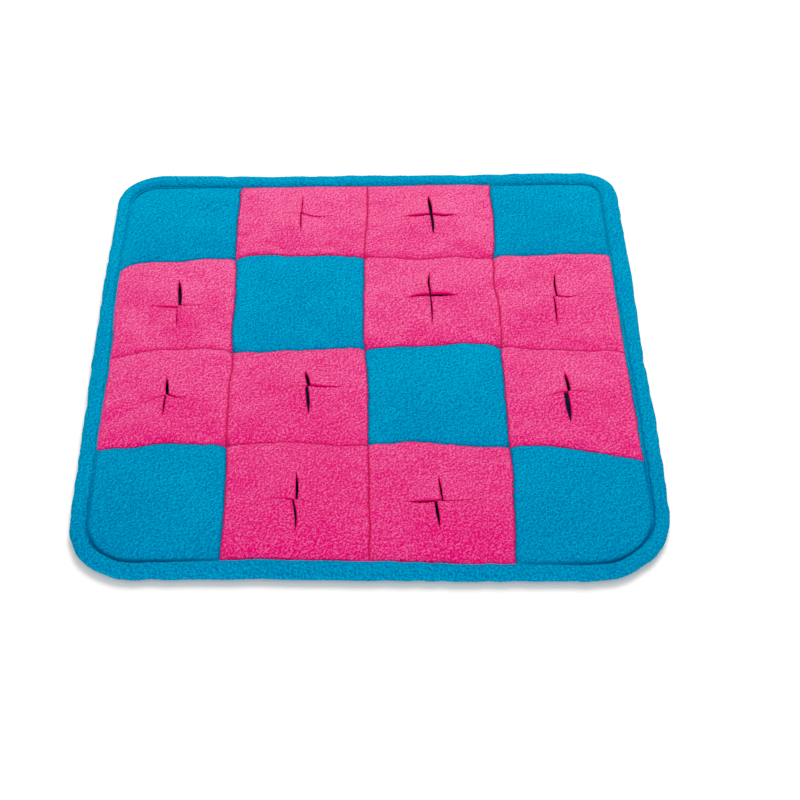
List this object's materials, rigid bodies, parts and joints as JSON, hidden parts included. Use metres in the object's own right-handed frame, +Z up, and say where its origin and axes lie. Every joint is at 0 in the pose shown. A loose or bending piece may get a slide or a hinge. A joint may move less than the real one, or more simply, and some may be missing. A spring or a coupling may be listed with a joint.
{
  "type": "snuffle mat",
  "caption": "Flat square snuffle mat: fleece patches sewn on a dark backing, cross-cut pockets in the pink ones, and a folded blue fleece edge.",
  "frame": {"origin": "middle of the mat's outline, on the surface it lies on", "axes": "+Z up through the thickness, +X to the right and +Y to the back of the mat as it is laid out"},
  "size_m": [0.3008, 0.3024, 0.0084],
  "materials": {
    "blue_fleece": "short curly fleece pile, matt, bright blue",
    "pink_fleece": "short curly fleece pile, matt, strong pink",
    "backing_cloth": "plain close cloth, matt, very dark navy"
  },
  "bodies": {
    "root": {"backing": "backing_cloth", "binding": "blue_fleece", "plain_patch_1_1": "blue_fleece", "plain_patch_1_4": "blue_fleece", "plain_patch_2_2": "blue_fleece", "plain_patch_3_3": "blue_fleece", "plain_patch_4_1": "blue_fleece", "plain_patch_4_4": "blue_fleece", "pocket_patch_1_2": "pink_fleece", "pocket_patch_1_3": "pink_fleece", "pocket_patch_2_1": "pink_fleece", "pocket_patch_2_3": "pink_fleece", "pocket_patch_2_4": "pink_fleece", "pocket_patch_3_1": "pink_fleece", "pocket_patch_3_2": "pink_fleece", "pocket_patch_3_4": "pink_fleece", "pocket_patch_4_2": "pink_fleece", "pocket_patch_4_3": "pink_fleece"}
  },
  "joints": []
}
